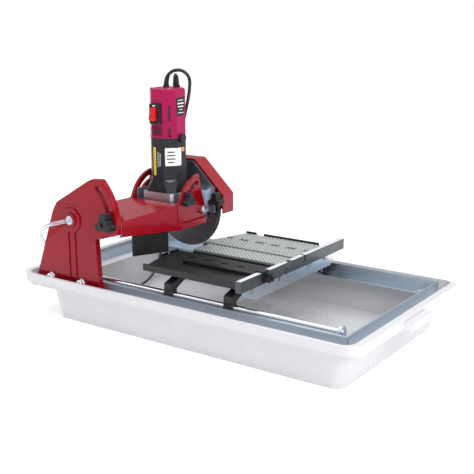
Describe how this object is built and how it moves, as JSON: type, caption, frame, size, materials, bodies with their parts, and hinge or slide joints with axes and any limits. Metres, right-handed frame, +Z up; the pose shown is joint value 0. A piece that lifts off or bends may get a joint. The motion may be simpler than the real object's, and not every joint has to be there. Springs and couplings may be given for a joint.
{
  "type": "wet tile saw",
  "caption": "Bench wet tile saw: tray with steel frame and rail, rolling slotted table, plunging arm on a side post and a tilting motor head with guard and blade.",
  "frame": {"origin": "centre of the tray's resting face, midway between the ends and sides of its rim", "axes": "+X along the tray from the post end towards the table's open end, +Y away from the post side, +Z up"},
  "size_m": [0.832, 0.6695, 0.5159],
  "materials": {
    "tray_white": "glossy white moulded plastic",
    "zinc_steel": "bright zinc plating",
    "chrome_rail": "polished",
    "red_paint": "glossy deep red paint",
    "magenta_plastic": "glossy raspberry plastic",
    "black_plastic": "satin black plastic",
    "red_plastic": "glossy red plastic",
    "cast_aluminium": "bead-blasted casting",
    "black_paint": "satin black paint",
    "grey_fence": "dark grey paint",
    "mat_rubber": "ribbed rubber, wet sheen",
    "black_rubber": "smooth rubber",
    "clear_vinyl": "clear flexible vinyl",
    "steel": "machined steel",
    "blade_steel": "dark ground steel",
    "bronze": "plain bearing bronze"
  },
  "bodies": {
    "base": {"tray": "tray_white", "frame_near": "zinc_steel", "frame_far": "zinc_steel", "frame_ends": "zinc_steel", "frame_bolts": "chrome_rail", "rail": "chrome_rail", "rail_brackets": "zinc_steel", "post": "red_paint", "pivot_tube": "zinc_steel", "pump": "black_plastic", "water_tube": "clear_vinyl", "pump_cord": "black_rubber", "mains_cord": "black_rubber", "mains_coil": "black_rubber", "mains_plug": "black_rubber"},
    "cart": {"table": "black_paint", "mat_far": "mat_rubber", "mat_middle": "mat_rubber", "mat_near": "mat_rubber", "crossbars": "black_paint", "rail_blocks": "black_plastic", "roller_axles": "steel", "fence": "grey_fence", "apron": "zinc_steel", "fence_bolts": "steel"},
    "roller_left_body": {"roller_left": "black_plastic"},
    "roller_right_body": {"roller_right": "black_plastic"},
    "rip_guide_body": {"rip_guide": "black_paint", "rip_clamp": "black_paint"},
    "rip_knob_body": {"rip_knob": "black_plastic"},
    "arm_body": {"arm": "red_paint", "arm_bush": "bronze", "arm_spacer": "zinc_steel", "curtain": "black_rubber", "cords_arm": "black_rubber"},
    "depth_knob_body": {"depth_knob": "black_plastic"},
    "head": {"gear_head": "cast_aluminium", "gear_plate": "cast_aluminium", "motor_housing": "black_plastic", "motor_cover": "magenta_plastic", "brush_caps": "black_plastic", "switch_frame": "black_plastic", "cord_reliefs": "black_rubber", "stator": "steel", "guard_plate": "zinc_steel", "guard_cover": "red_paint", "guard_spacer": "zinc_steel", "tilt_bolts": "zinc_steel", "cords_head": "black_rubber", "bearings": "steel"},
    "switch_paddle_body": {"switch_paddle": "red_plastic"},
    "guard_knob_body": {"guard_knob": "black_plastic"},
    "tilt_knob_body": {"tilt_knob": "black_plastic"},
    "rotor": {"armature": "steel", "pinion": "steel"},
    "spindle_body": {"spindle": "steel", "bevel_gear": "steel", "blade_flanges": "steel", "blade": "blade_steel", "arbor_nut": "steel"}
  },
  "joints": [
    {"name": "cart_slide", "type": "slide", "parent": "base", "child": "cart", "axis": [1, 0, 0], "range_m": [-0.23, 0.2]},
    {"name": "roller_left_spin", "type": "hinge", "parent": "cart", "child": "roller_left_body", "pos_m": [-0.028, 0.18, 0.08755], "axis": [0, 1, 0], "continuous": true},
    {"name": "roller_right_spin", "type": "hinge", "parent": "cart", "child": "roller_right_body", "pos_m": [0.113, 0.18, 0.08755], "axis": [0, 1, 0], "continuous": true},
    {"name": "rip_guide_slide", "type": "slide", "parent": "cart", "child": "rip_guide_body", "axis": [0, 1, 0], "range_m": [-0.045, 0.05]},
    {"name": "rip_knob_turn", "type": "hinge", "parent": "rip_guide_body", "child": "rip_knob_body", "pos_m": [0.15, -0.112, 0.145], "axis": [1, 0, 0], "range_deg": [0, 360]},
    {"name": "arm_plunge", "type": "hinge", "parent": "base", "child": "arm_body", "pos_m": [-0.258, -0.192, 0.221], "axis": [0, -1, 0], "range_deg": [0, 40]},
    {"name": "depth_knob_turn", "type": "hinge", "parent": "arm_body", "child": "depth_knob_body", "pos_m": [-0.15425, -0.216, 0.22826], "axis": [0, 1, 0], "range_deg": [0, 360]},
    {"name": "head_tilt", "type": "hinge", "parent": "arm_body", "child": "head", "pos_m": [-0.152, 0, 0.226], "axis": [-1, 0, 0], "range_deg": [0, 45]},
    {"name": "tilt_knob_turn", "type": "hinge", "parent": "head", "child": "tilt_knob_body", "pos_m": [-0.08, -0.05423, 0.25606], "axis": [1, 0, 0], "range_deg": [0, 360]},
    {"name": "guard_knob_turn", "type": "hinge", "parent": "head", "child": "guard_knob_body", "pos_m": [-0.0605, 0.01, 0.247], "axis": [0, 1, 0], "range_deg": [0, 360]},
    {"name": "switch_press", "type": "hinge", "parent": "head", "child": "switch_paddle_body", "pos_m": [-0.152, -0.072, 0.442], "axis": [1, 0, 0], "range_deg": [0, 10]},
    {"name": "spindle_spin", "type": "hinge", "parent": "head", "child": "spindle_body", "pos_m": [-0.152, 0.01, 0.2225], "axis": [0, 1, 0], "continuous": true},
    {"name": "armature_spin", "type": "hinge", "parent": "head", "child": "rotor", "pos_m": [-0.152, -0.027, 0.32], "axis": [0, 0, 1], "continuous": true}
  ],
  "couplings": [
    {"joint": "armature_spin", "follows": "spindle_spin", "ratio": -2.8182}
  ]
}
